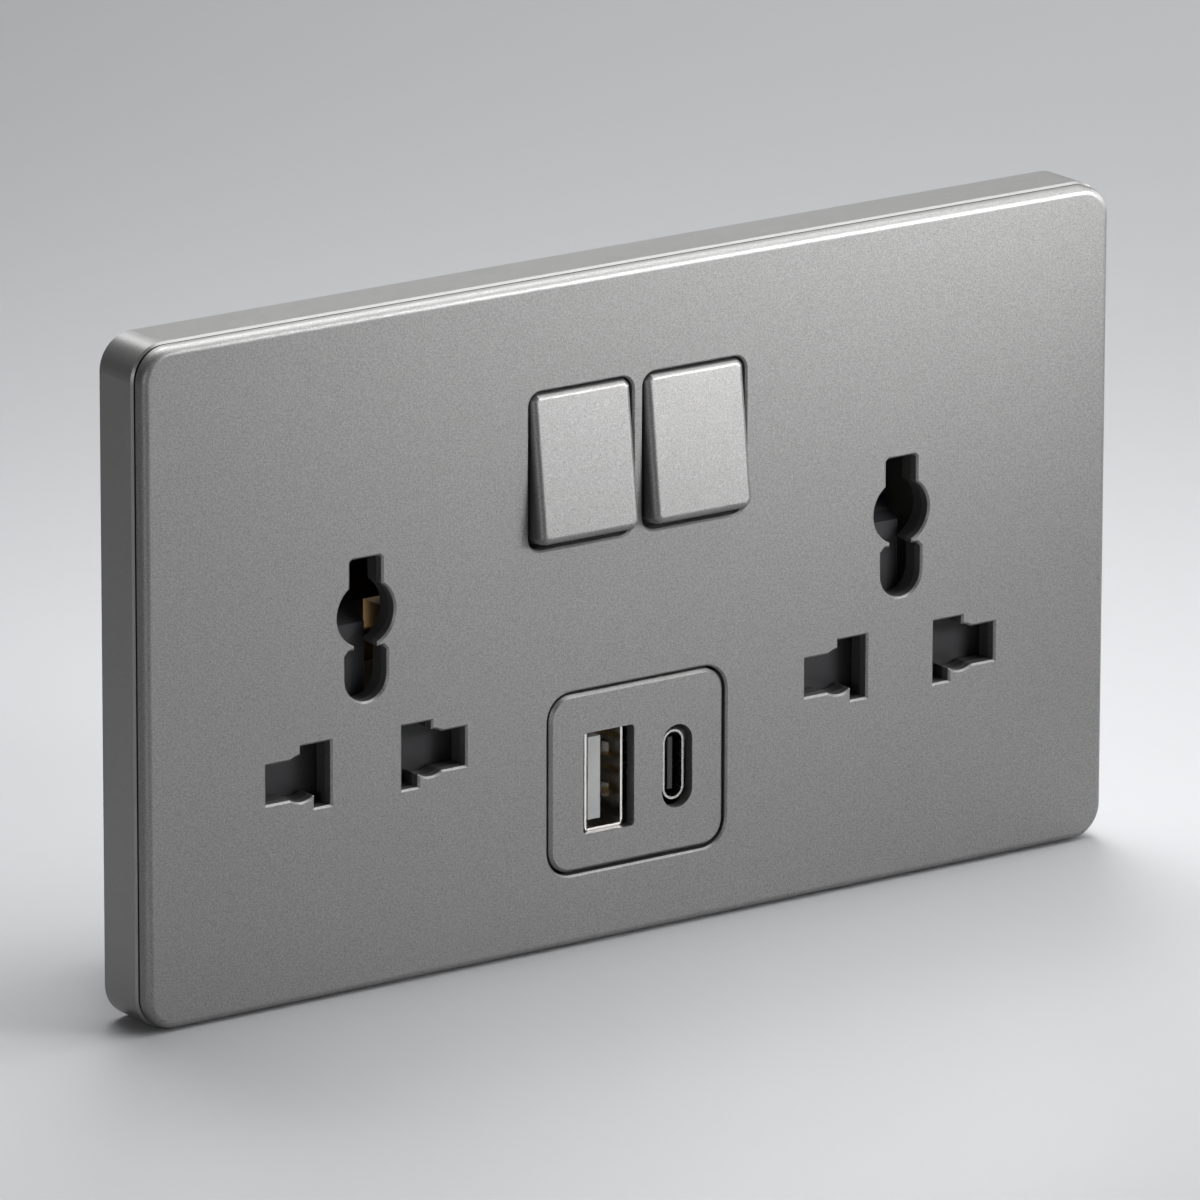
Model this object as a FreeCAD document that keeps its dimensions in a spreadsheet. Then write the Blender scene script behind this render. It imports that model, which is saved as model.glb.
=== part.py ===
import FreeCAD, Part
import Sketcher
import math
import os

# A double switched wall socket with a USB charger between its two outlets.
# X runs along the plate, Z up the wall and Y back into the wall.
# The origin is the middle of the plate's rear edge, on the wall surface.

SIZES = [
    # The plate: a mounting frame with a clip-on fascia.
    ("plate_width", 146.0),
    ("plate_height", 86.0),
    ("plate_corner", 4.5),
    ("plate_depth", 9.0),
    ("frame_depth", 7.0),
    ("frame_wall", 1.8),
    ("frame_edge", 0.3),
    ("seam", 0.25),
    ("fascia_inset", 0.25),
    ("fascia_skin", 1.4),
    ("fascia_rim", 1.9),
    ("fascia_edge", 1.0),
    ("hole_bevel", 0.25),
    ("deck_front", 3.0),
    ("deck_rear", 1.0),
    ("fixing_pitch", 120.6),
    ("fixing_hole", 2.0),
    ("fixing_boss", 5.5),
    # The clips that hold the fascia on the frame.
    ("clip_place", 34.0),
    ("clip_width", 10.0),
    ("clip_side_gap", 0.5),
    ("clip_thick", 1.2),
    ("clip_gap", 0.3),
    ("clip_end", 4.0),
    ("hook_front", 5.4),
    ("hook_rear", 4.5),
    ("hook_reach", 0.3),
    ("hook_room", 0.4),
    # How far an added shape reaches into the one that carries it.
    ("bite", 0.2),
    # The outlets.
    ("half_pitch", 40.5),
    ("pin_line", 14.2),
    ("hole_inner", 5.25),
    ("hole_outer", 14.75),
    ("hole_half", 2.5),
    ("tab_top", 4.1),
    ("tab_top_end", 9.65),
    ("tab_bottom", 4.05),
    ("tab_bottom_end", 7.65),
    ("round_place", 9.5),
    ("round_radius", 3.0),
    ("slot_half", 3.1),
    ("slot_foot", 6.05),
    ("slot_shoulder", 0.7),
    ("shoulder_cut", 0.6),
    ("neck_half", 1.7),
    ("earth_round", 5.05),
    ("earth_round_radius", 4.2),
    ("earth_half", 2.35),
    ("earth_top", 12.13),
    ("earth_cut", 0.35),
    # The switches.
    ("rocker_place", 8.55),
    ("rocker_drop", 24.1),
    ("rocker_width", 14.9),
    ("rocker_height", 18.9),
    ("bay_side_gap", 0.35),
    ("bay_end_gap", 0.65),
    ("bay_corner", 1.8),
    ("rocker_face", 4.2),
    ("rocker_skin", 1.4),
    ("rocker_wall", 1.3),
    ("rocker_back", 1.6),
    ("rocker_edge", 0.9),
    ("rocker_corner", 0.8),
    ("rocker_tilt", 7.0),
    ("pivot_depth", 6.0),
    ("trunnion", 0.9),
    ("trunnion_fit", 0.08),
    ("trunnion_reach", 0.55),
    ("trunnion_hole", 1.2),
    ("trunnion_boss", 2.4),
    ("trunnion_side", 1.3),
    ("trunnion_rear", 0.7),
    ("plunger_tube", 2.1),
    ("plunger_bore", 1.4),
    ("plunger_radius", 1.33),
    ("tube_end", 6.5),
    ("bore_start", 2.4),
    ("plunger_start", 2.6),
    ("plunger_tip", 13.4),
    ("plunger_point", 0.9),
    ("arm_axis", 9.0),
    ("arm_front", 1.0),
    ("arm_back", 0.2),
    ("arm_reach", 8.0),
    ("arm_half", 2.6),
    ("arm_hub", 1.5),
    ("arm_tilt", 8.0),
    ("knife_nose", 0.5),
    ("knife_fit", 0.06),
    ("knife_half", 2.0),
    ("button_place", 7.0),
    ("button_radius", 0.9),
    ("button_height", 0.5),
    ("contact_radius", 1.3),
    ("contact_height", 0.25),
    # The dark moulding behind the fascia, and the outline it shares with the housing.
    ("front_face", 7.5),
    ("front_plate", 5.8),
    ("front_wall", 1.8),
    ("inner_half", 58.0),
    ("top_margin", 11.5),
    ("foot_margin", 7.0),
    ("foot_step", 3.0),
    ("notch_half", 7.0),
    ("notch_side", 53.5),
    ("deck_lap", 2.0),
    ("rail_width", 1.4),
    ("lip_reach", 1.2),
    ("lip_gap", 0.3),
    # The shutters.
    ("shutter_front", 5.5),
    ("shutter_rear", 4.1),
    ("shutter_half", 15.35),
    ("shutter_foot", 18.8),
    ("shutter_head", 9.6),
    ("shutter_travel", 8.6),
    ("guide_gap", 0.35),
    ("cam_half", 2.0),
    ("cam_start", 4.0),
    ("cam_nose", 1.0),
    ("cam_run", 8.0),
    ("cam_thick", 2.6),
    ("cam_root", 5.0),
    ("foot_half", 2.4),
    ("foot_height", 2.0),
    ("foot_depth", 4.0),
    ("spring_line", 2.0),
    ("spring_coil", 1.3),
    ("spring_wire", 0.25),
    ("spring_play", 0.05),
    ("spring_turns", 3.0),
    # The housing behind the wall and its screws.
    ("housing_depth", 21.0),
    ("housing_wall", 1.6),
    ("housing_edge", 2.0),
    ("screw_top_place", 52.4),
    ("screw_top_inset", 5.5),
    ("screw_foot_place", 19.5),
    ("screw_foot_inset", 5.2),
    ("screw_radius", 1.45),
    ("screw_pilot_gap", 0.02),
    ("screw_hole_gap", 0.1),
    ("screw_tip", 4.6),
    ("screw_boss", 2.9),
    ("screw_boss_gap", 0.2),
    ("screw_boss_floor", 0.4),
    ("screw_tube", 3.7),
    ("screw_head", 2.6),
    ("screw_head_height", 1.8),
    ("screw_sink", 2.8),
    ("screw_seat", 13.0),
    ("post_half", 1.2),
    ("strip_post_rise", 14.0),
    ("window_gap", 0.6),
    ("wire_room", 5.6),
    # The brass.
    ("brass", 0.8),
    ("pin_place", 11.1),
    ("pin_clip_half", 4.0),
    ("leaf_gap", 2.075),
    ("leaf_flare", 0.9),
    ("leaf_lip", 1.8),
    ("leaf_front", 2.6),
    ("live_plane", 11.0),
    ("bar_plane", 14.2),
    ("strip_width", 3.0),
    ("strip_gap", 3.6),
    ("strip_lap", 0.4),
    ("strip_foot", 1.8),
    ("strip_end", 3.05),
    ("strip_leg", 2.0),
    ("bar_rise", 5.2),
    ("bar_width", 4.0),
    ("earth_pin_rise", 22.23),
    ("earth_clip_half", 3.5),
    ("earth_leaf_front", 4.6),
    ("earth_bar_width", 6.5),
    ("earth_bar_lap", 1.0),
    ("live_bar_end", 12.0),
    ("live_bar_half", 2.2),
    ("live_bar_rise", 1.6),
    ("tail_half", 2.0),
    ("tail_lap", 3.8),
    ("tail_bridge", 1.4),
    ("live_terminal_place", 24.0),
    ("neutral_terminal_place", 17.0),
    ("earth_left_place", 32.0),
    ("earth_right_place", 18.0),
    ("block_half", 4.0),
    ("block_depth", 5.6),
    ("wire_bore", 1.9),
    ("clamp_screw", 1.6),
    ("clamp_gap", 0.02),
    ("clamp_reach", 0.6),
    ("clamp_head", 2.5),
    ("clamp_head_height", 1.2),
    ("slot_width", 0.8),
    ("slot_depth", 0.5),
    # The charger's frame.
    ("usb_lift", 21.2),
    ("usb_width", 26.3),
    ("usb_height", 22.8),
    ("usb_corner", 3.1),
    ("usb_edge", 0.4),
    ("usb_seam", 0.4),
    ("usb_skin", 1.6),
    ("usb_collar", 5.5),
    ("usb_wall", 1.3),
    ("usb_mouth_drop", 0.4),
    ("leg_width", 2.2),
    ("leg_near", 6.2),
    ("leg_far", 8.6),
    # Its ports.
    ("shell_wall", 0.3),
    ("port_play", 0.05),
    ("port_base", 3.9),
    ("usb_a_place", 4.3),
    ("usb_a_mouth_width", 7.7),
    ("usb_a_mouth_height", 13.1),
    ("usb_a_mouth_corner", 0.5),
    ("usb_a_width", 5.12),
    ("usb_a_height", 12.4),
    ("usb_a_corner", 0.6),
    ("usb_a_recess", 1.2),
    ("tongue_step", 0.6),
    ("tongue_gap", 0.65),
    ("tongue_thick", 1.84),
    ("tongue_half", 5.3),
    ("strip_step", 0.6),
    ("strip_thick", 0.12),
    ("strip_half", 0.5),
    ("inner_strip", 1.0),
    ("outer_strip", 3.5),
    ("finger_place", 2.65),
    ("finger_width", 1.7),
    ("finger_bend", 0.45),
    ("finger_front", 5.6),
    ("finger_peak", 4.4),
    ("finger_flat", 3.8),
    ("finger_rear", 1.5),
    ("usb_c_place", 6.1),
    ("usb_c_mouth_width", 4.6),
    ("usb_c_mouth_height", 10.75),
    ("usb_c_width", 3.2),
    ("usb_c_height", 9.0),
    ("usb_c_recess", 0.9),
    ("usb_c_step", 0.7),
    ("usb_c_tongue", 0.35),
    ("usb_c_tongue_half", 3.35),
    # How much less than half the width a full round end's radius is.
    ("round_end", 0.02),
    # The charger's board.
    ("board_front", 5.0),
    ("board_thick", 1.6),
    ("board_half", 12.2),
    ("board_top", 1.2),
    ("board_drop", 9.0),
    ("board_room", 0.6),
    ("pillar_inset", 1.6),
    ("core_left", 9.5),
    ("core_right", 1.5),
    ("core_foot", 5.2),
    ("core_head", 6.3),
    ("core_lip", 1.9),
    ("core_front", 2.0),
    ("core_waist", 3.4),
    ("can_place", 6.4),
    ("can_radius", 3.1),
    ("can_low", 3.6),
    ("can_high", 4.0),
    ("feed_place", 8.0),
    ("feed_half", 0.5),
    ("feed_inset", 1.8),
]
NAMES = [alias for alias, value in SIZES]

# Places that several pieces share, written over the sizes.
MOULDING_TOP = "( plate_height / 2 - top_margin )"
FRONT_FOOT = "( plate_height / 2 - foot_margin )"
HOUSING_FOOT = "( plate_height / 2 - foot_margin - foot_step )"
ROCKER_RISE = "( plate_height / 2 - rocker_drop )"
BAY_WIDTH = "( rocker_width + 2 * bay_side_gap )"
BAY_HEIGHT = "( rocker_height + 2 * bay_end_gap )"
USB_DROP = "( plate_height / 2 - usb_lift )"
PORT_LEVEL = "( usb_lift - plate_height / 2 - usb_mouth_drop )"
BOARD_REAR = "( board_front + board_thick )"
BOARD_ROOM = "( bar_plane - board_front - board_thick - board_room )"
CONTACT_LEVEL = "( plate_height / 2 - rocker_drop + button_place )"
LIVE_LEVEL = "( plate_height / 2 - rocker_drop + live_bar_rise )"
NEUTRAL_LEVEL = "( bar_rise + bar_width / 2 - pin_line )"
EARTH_RISE = "( earth_pin_rise - pin_line )"
EARTH_BAR_TOP = "( earth_pin_rise - pin_line - earth_clip_half + earth_bar_lap )"
EARTH_LEVEL = "( earth_pin_rise - pin_line - earth_clip_half + earth_bar_lap - earth_bar_width / 2 )"
LIVE_RIGHT = "( half_pitch + pin_place )"
LIVE_LEFT = "( pin_place - half_pitch )"
NEUTRAL_RIGHT = "( half_pitch - pin_place )"
NEUTRAL_LEFT = "( - half_pitch - pin_place )"

FEW_SIDES = 12
SIDES = [(1, "right"), (-1, "left")]
QUARTERS = [(1, 1), (-1, 1), (-1, -1), (1, -1)]
SCREWS = [("screw_top_place", MOULDING_TOP + " - screw_top_inset"),
          ("- screw_top_place", MOULDING_TOP + " - screw_top_inset"),
          ("screw_foot_place", "screw_foot_inset - " + HOUSING_FOOT),
          ("- screw_foot_place", "screw_foot_inset - " + HOUSING_FOOT)]
TERMINALS = [("live_terminal", "live_terminal_place", LIVE_LEVEL),
             ("neutral_terminal", "- neutral_terminal_place", NEUTRAL_LEVEL),
             ("earth_terminal_left", "- earth_left_place", EARTH_LEVEL),
             ("earth_terminal_right", "earth_right_place", EARTH_LEVEL)]

V = FreeCAD.Vector
doc = FreeCAD.newDocument("usb_wall_socket")
sheet = doc.addObject("Spreadsheet::Sheet", "sizes")
for row, (alias, value) in enumerate(SIZES, 1):
    sheet.set("A%d" % row, alias)
    sheet.set("B%d" % row, str(value))
    sheet.setAlias("B%d" % row, alias)
doc.recompute()

gauge = doc.addObject("App::FeaturePython", "gauge")
gauge.addProperty("App::PropertyFloat", "reading")


def bound(text):
    """An expression over the sheet, from plain words set apart by spaces."""
    return " ".join("sizes." + word if word in NAMES else word for word in str(text).split())


def number(text):
    """What such an expression comes to now, for a sketch's first drawing."""
    gauge.setExpression("reading", bound(text))
    gauge.recompute()
    return gauge.reading


def flipped(side, text):
    """The expression itself on the right-hand side, or its mirror image on the left."""
    return text if side > 0 else "- ( %s )" % text


def new_body(name):
    body = doc.addObject("PartDesign::Body", name)
    body.Label = name
    return body


def origin_plane(body, role):
    return [part for part in body.Origin.OriginFeatures if part.Role == role][0]


def sketch_on(body, role, offset, shapes):
    """A sketch parallel to one of the body's origin planes, offset along its normal."""
    sketch = body.newObject("Sketcher::SketchObject", body.Name + "_sketch")
    sketch.AttachmentSupport = [(origin_plane(body, role), "")]
    sketch.MapMode = "FlatFace"
    sketch.setExpression("AttachmentOffset.Base.z", bound(offset))
    for draw, *sizes in shapes:
        draw(sketch, *sizes)
    return sketch


def place(sketch, geometry, point, x, y):
    """Ties a point to the sketch's origin by two bound distances."""
    for kind, size in (("DistanceX", x), ("DistanceY", y)):
        tie = Sketcher.Constraint(kind, -1, 1, geometry, point, number(size))
        index = sketch.addConstraint(tie)
        sketch.setExpression("Constraints[%d]" % index, bound(size))


def set_radius(sketch, geometry, radius):
    index = sketch.addConstraint(Sketcher.Constraint("Radius", geometry, number(radius)))
    sketch.setExpression("Constraints[%d]" % index, bound(radius))


def outline(sketch, points):
    """A closed outline of straight lines through points of bound coordinates."""
    spots = [V(number(x), number(y), 0) for x, y in points]
    first = sketch.GeometryCount
    for i, spot in enumerate(spots):
        sketch.addGeometry(Part.LineSegment(spot, spots[(i + 1) % len(spots)]))
    for i, (x, y) in enumerate(points):
        after = first + (i + 1) % len(points)
        sketch.addConstraint(Sketcher.Constraint("Coincident", first + i, 2, after, 1))
        place(sketch, first + i, 1, x, y)


def box(sketch, x0, y0, x1, y1):
    outline(sketch, [(x0, y0), (x1, y0), (x1, y1), (x0, y1)])


def trimmed(sketch, x0, y0, x1, y1, cut):
    """A box whose corners are cut off at 45 degrees."""
    outline(sketch, [(x0 + " + " + cut, y0), (x1 + " - " + cut, y0), (x1, y0 + " + " + cut),
                     (x1, y1 + " - " + cut), (x1 + " - " + cut, y1), (x0 + " + " + cut, y1),
                     (x0, y1 + " - " + cut), (x0, y0 + " + " + cut)])


def disc(sketch, x, y, radius):
    centre = V(number(x), number(y), 0)
    geometry = sketch.addGeometry(Part.Circle(centre, V(0, 0, 1), number(radius)))
    place(sketch, geometry, 3, x, y)
    set_radius(sketch, geometry, radius)


def ring(sketch, x, y, radius):
    """A small hidden circle that is drawn with few sides, to keep the mesh light."""
    turns = [2 * math.pi * i / FEW_SIDES for i in range(FEW_SIDES)]
    outline(sketch, [("%s + %.6f * ( %s )" % (x, math.cos(turn), radius),
                      "%s + %.6f * ( %s )" % (y, math.sin(turn), radius)) for turn in turns])


def rounded(sketch, x, y, width, height, radius):
    """A rectangle with round corners about a bound centre."""
    first = sketch.GeometryCount
    corners = [(1, 1), (-1, 1), (-1, -1), (1, -1)]
    centres = []
    for side, level in corners:
        cx = "%s + %d * ( %s / 2 - %s )" % (x, side, width, radius)
        cy = "%s + %d * ( %s / 2 - %s )" % (y, level, height, radius)
        centres.append((cx, cy))
    for i, (cx, cy) in enumerate(centres):
        circle = Part.Circle(V(number(cx), number(cy), 0), V(0, 0, 1), number(radius))
        start = math.pi / 2 * i
        sketch.addGeometry(Part.ArcOfCircle(circle, start, start + math.pi / 2))
    for i in range(4):
        start = sketch.Geometry[first + i].EndPoint
        end = sketch.Geometry[first + (i + 1) % 4].StartPoint
        sketch.addGeometry(Part.LineSegment(start, end))
    for i, (cx, cy) in enumerate(centres):
        arc = first + i
        line = first + 4 + i
        after = first + (i + 1) % 4
        across, along = ("Horizontal", "Vertical") if i % 2 == 0 else ("Vertical", "Horizontal")
        sketch.addConstraint(Sketcher.Constraint("Coincident", arc, 2, line, 1))
        sketch.addConstraint(Sketcher.Constraint("Coincident", line, 2, after, 1))
        sketch.addConstraint(Sketcher.Constraint(across, arc, 3, arc, 1))
        sketch.addConstraint(Sketcher.Constraint(along, arc, 3, arc, 2))
        place(sketch, arc, 3, cx, cy)
        set_radius(sketch, arc, radius)


def feature(body, kind, sketch, length, both_ways):
    made = body.newObject("PartDesign::" + kind, body.Name + "_" + kind.lower())
    made.Profile = sketch
    made.setExpression("Length", bound(length))
    if both_ways:
        made.SideType = "Symmetric"
    sketch.Visibility = False
    return made


def add_back(body, y, length, *shapes):
    """Adds the shapes, drawn as seen from the front, from depth y towards the rear."""
    sketch = sketch_on(body, "XZ_Plane", "- ( %s )" % y, shapes)
    made = feature(body, "Pad", sketch, length, False)
    made.Reversed = True
    return made


def cut_back(body, y, length, *shapes):
    sketch = sketch_on(body, "XZ_Plane", "- ( %s )" % y, shapes)
    return feature(body, "Pocket", sketch, length, False)


def flare(body, y, bevel, *shapes):
    """Widens openings by a bevel that ends at the front face, at depth y."""
    sketch = sketch_on(body, "XZ_Plane", "- ( %s ) - %s" % (y, bevel), shapes)
    made = feature(body, "Pocket", sketch, bevel, False)
    made.Reversed = True
    made.TaperAngle = 45
    return made


def add_across(body, x, width, *shapes):
    """Adds the shapes, drawn in Y and Z, half of the width to each side of x."""
    return feature(body, "Pad", sketch_on(body, "YZ_Plane", x, shapes), width, True)


def cut_across(body, x, width, *shapes):
    return feature(body, "Pocket", sketch_on(body, "YZ_Plane", x, shapes), width, True)


def add_upright(body, z, height, *shapes):
    """Adds the shapes, drawn in X and Y, half of the height above and below z."""
    return feature(body, "Pad", sketch_on(body, "XY_Plane", z, shapes), height, True)


def cut_upright(body, z, height, *shapes):
    return feature(body, "Pocket", sketch_on(body, "XY_Plane", z, shapes), height, True)


def mirrored(body, originals):
    """Repeats features of the right-hand half on the left."""
    made = body.newObject("PartDesign::Mirrored", body.Name + "_mirror")
    made.Originals = originals
    made.MirrorPlane = (origin_plane(body, "YZ_Plane"), [""])
    body.Tip = made
    return made


def finish_edges(body, kind, size, test):
    """Fillets or chamfers the body's present edges that pass the test."""
    doc.recompute()
    base = body.Tip
    names = ["Edge%d" % i for i, edge in enumerate(base.Shape.Edges, 1) if test(edge)]
    made = body.newObject("PartDesign::" + kind, body.Name + "_" + kind.lower())
    made.Base = (base, names)
    made.setExpression("Radius" if kind == "Fillet" else "Size", bound(size))
    return made


def at_depth(text):
    """A test for edges that lie flat at a bound depth."""
    depth = number(text)
    return lambda e: abs(e.BoundBox.YMin - depth) < 0.01 and abs(e.BoundBox.YMax - depth) < 0.01


def pin_hole(side):
    """Outline of a live or neutral hole, on one side of the right-hand outlet."""
    def x(size):
        return "half_pitch + %d * %s" % (side, size)
    low = "- pin_line - "
    high = "- pin_line + "
    return [(x("hole_inner"), low + "tab_bottom"), (x("tab_bottom_end"), low + "tab_bottom"),
            (x("tab_bottom_end"), low + "hole_half"), (x("hole_outer"), low + "hole_half"),
            (x("hole_outer"), high + "hole_half"), (x("tab_top_end"), high + "hole_half"),
            (x("tab_top_end"), high + "tab_top"), (x("hole_inner"), high + "tab_top")]


def outlet_shapes(finished):
    """The right-hand outlet's openings, in groups whose shapes stay apart."""
    slot_centre = "slot_half - slot_foot"
    pins = [(outline, pin_hole(1)), (outline, pin_hole(-1)),
            (disc, "half_pitch", "earth_round", "earth_round_radius")]
    rounds = [(disc, "half_pitch + round_place", "- pin_line", "round_radius"),
              (disc, "half_pitch - round_place", "- pin_line", "round_radius")]
    if finished:
        rounds += [(trimmed, "half_pitch - slot_half", slot_centre + " - shoulder_cut",
                    "half_pitch + slot_half", "slot_shoulder", "shoulder_cut"),
                   (trimmed, "half_pitch - earth_half", "earth_round", "half_pitch + earth_half",
                    "earth_top", "earth_cut")]
    else:
        rounds += [(box, "half_pitch - slot_half", slot_centre, "half_pitch + slot_half",
                    "slot_shoulder"),
                   (box, "half_pitch - earth_half", "earth_round", "half_pitch + earth_half",
                    "earth_top")]
    joins = [(disc, "half_pitch", slot_centre, "slot_half"),
             (box, "half_pitch - neck_half", "slot_shoulder - bite",
              "half_pitch + neck_half", "earth_round - earth_round_radius / 2")]
    return [pins, rounds, joins]


def cut_openings(body, y, depth, finished):
    """All openings of the front: outlets, switch bays and the charger's window.

    Finished ones have round corners and bevelled rims.
    """
    if finished:
        bay = (rounded, "rocker_place", ROCKER_RISE, BAY_WIDTH, BAY_HEIGHT, "bay_corner")
    else:
        bay = (box, "rocker_place - %s / 2" % BAY_WIDTH, "%s - %s / 2" % (ROCKER_RISE, BAY_HEIGHT),
               "rocker_place + %s / 2" % BAY_WIDTH, "%s + %s / 2" % (ROCKER_RISE, BAY_HEIGHT))
    window = (rounded, "0", "- " + USB_DROP, "( usb_width + 2 * usb_seam )",
              "( usb_height + 2 * usb_seam )", "( usb_corner + usb_seam )")
    groups = outlet_shapes(finished) + [[bay]]
    cuts = [cut_back(body, y, depth, *shapes) for shapes in groups]
    if finished:
        cuts += [flare(body, y, "hole_bevel", *shapes) for shapes in groups]
    mirrored(body, cuts)
    cut_back(body, y, depth, window)
    if finished:
        flare(body, y, "hole_bevel", window)


def inner_outline(inset, foot):
    """The outline that the front moulding and the housing share, notched for the box lugs."""
    half = "inner_half - %s" % inset
    notch = "notch_side - %s" % inset
    right = [(half, "%s - %s" % (inset, foot)), (half, "- notch_half - %s" % inset),
             (notch, "- notch_half - %s" % inset), (notch, "notch_half + %s" % inset),
             (half, "notch_half + %s" % inset), (half, "%s - %s" % (MOULDING_TOP, inset))]
    left = [("- ( %s )" % x, z) for x, z in reversed(right)]
    return right + left


def make_fascia():
    body = new_body("fascia")
    add_back(body, "- plate_depth", "plate_depth - frame_depth - seam",
             (rounded, "0", "0", "( plate_width - 2 * fascia_inset )",
              "( plate_height - 2 * fascia_inset )", "( plate_corner - fascia_inset )"))
    cut_back(body, "fascia_skin - plate_depth", "plate_depth",
             (trimmed, "fascia_rim - plate_width / 2", "fascia_rim - plate_height / 2",
              "plate_width / 2 - fascia_rim", "plate_height / 2 - fascia_rim",
              "( plate_corner - fascia_rim ) / 2"))
    finish_edges(body, "Fillet", "fascia_edge", at_depth("- plate_depth"))
    # Each clip is a tongue with a hook that snaps into the frame's wall.
    wall = "plate_height / 2 - frame_wall"
    root = "fascia_skin - plate_depth - bite"
    tongue = [(root, wall + " - clip_gap - clip_thick"), ("- clip_end", wall + " - clip_gap - clip_thick"),
              ("- clip_end", wall + " - clip_gap - clip_thick / 2"),
              ("- hook_rear", wall + " + hook_reach"), ("- hook_front", wall + " + hook_reach"),
              ("- hook_front", wall + " - clip_gap"), (root, wall + " - clip_gap")]
    for side, level in QUARTERS:
        add_across(body, "%d * clip_place" % side, "clip_width",
                   (outline, [(y, "%d * ( %s )" % (level, z)) for y, z in tongue]))
    cut_openings(body, "- plate_depth", "fascia_skin + bite", True)
    return body


def make_frame():
    body = new_body("mounting_frame")
    inner = (trimmed, "frame_wall - plate_width / 2", "frame_wall - plate_height / 2",
             "plate_width / 2 - frame_wall", "plate_height / 2 - frame_wall",
             "( plate_corner - frame_wall ) / 2")
    fixings = ["fixing_pitch / 2", "- fixing_pitch / 2"]
    add_back(body, "- frame_depth", "frame_depth",
             (rounded, "0", "0", "plate_width", "plate_height", "plate_corner"))
    finish_edges(body, "Chamfer", "frame_edge", at_depth("- frame_depth"))
    cut_back(body, "- frame_depth", "frame_depth - deck_front", inner)
    cut_back(body, "- deck_rear", "deck_rear", inner)
    add_back(body, "- deck_front", "deck_front", *[(ring, x, "0", "fixing_boss") for x in fixings])
    cut_back(body, "- frame_depth", "frame_depth", *[(disc, x, "0", "fixing_hole") for x in fixings])
    cut_back(body, "- frame_depth", "frame_depth", (outline, inner_outline("deck_lap", HOUSING_FOOT)))
    wall = "plate_height / 2 - frame_wall"
    for side, level in QUARTERS:
        cut_across(body, "%d * clip_place" % side, "clip_width + 2 * clip_side_gap",
                   (box, "- hook_front - hook_room", "%d * ( %s - bite )" % (level, wall),
                    "hook_room - hook_rear", "%d * ( %s + hook_reach + hook_room )" % (level, wall)))
    return body


def make_socket_front():
    body = new_body("socket_front")
    add_back(body, "- front_face", "front_face - deck_front", (outline, inner_outline("0", FRONT_FOOT)))
    cut_back(body, "- front_plate", "front_plate", (outline, inner_outline("front_wall", FRONT_FOOT)))
    # Bosses that carry the rockers' trunnions, one of them between the two rockers.
    plate = "- front_plate - bite"
    bay = "rocker_place + %s / 2" % BAY_WIDTH
    low = ROCKER_RISE + " - trunnion - trunnion_side"
    high = ROCKER_RISE + " + trunnion + trunnion_side"
    add_back(body, plate, "front_plate + bite - pivot_depth + trunnion + trunnion_rear",
             (box, bay, low, bay + " + trunnion_boss", high),
             (box, "- ( %s )" % bay, low, "- ( %s + trunnion_boss )" % bay, high),
             (box, "rocker_place - %s / 2" % BAY_WIDTH, low, "%s / 2 - rocker_place" % BAY_WIDTH, high))
    # Rails and lips that guide the two shutters.
    inner = "half_pitch - shutter_half - guide_gap"
    outer = "inner_half - front_wall"
    foot = "front_wall - bite - " + FRONT_FOOT
    head = "- shutter_head"
    for side, name in SIDES:
        rail = flipped(side, inner + " - rail_width")
        add_back(body, plate, "front_plate + bite - deck_front",
                 (box, rail, foot, flipped(side, inner), head))
        add_back(body, "lip_gap - shutter_rear", "shutter_rear - lip_gap - deck_front",
                 (box, rail, foot, flipped(side, inner + " + lip_reach"), head),
                 (box, flipped(side, outer + " - lip_reach"), foot, flipped(side, outer + " + bite"), head))
    add_back(body, plate, "front_plate + bite - deck_rear - screw_boss_gap",
             *[(ring, x, z, "screw_boss") for x, z in SCREWS])
    cut_back(body, "screw_boss_floor - front_plate", "front_plate",
             *[(ring, x, z, "screw_radius + screw_pilot_gap") for x, z in SCREWS])
    cut_openings(body, "- front_face", "front_face - front_plate", False)
    cut_across(body, "0", "2 * rocker_place + %s + 2 * trunnion_hole" % BAY_WIDTH,
               (ring, "- pivot_depth", ROCKER_RISE, "trunnion + trunnion_fit"))
    return body


def post_at(x, z):
    return (box, x + " - post_half", z + " - post_half", x + " + post_half", z + " + post_half")


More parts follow.
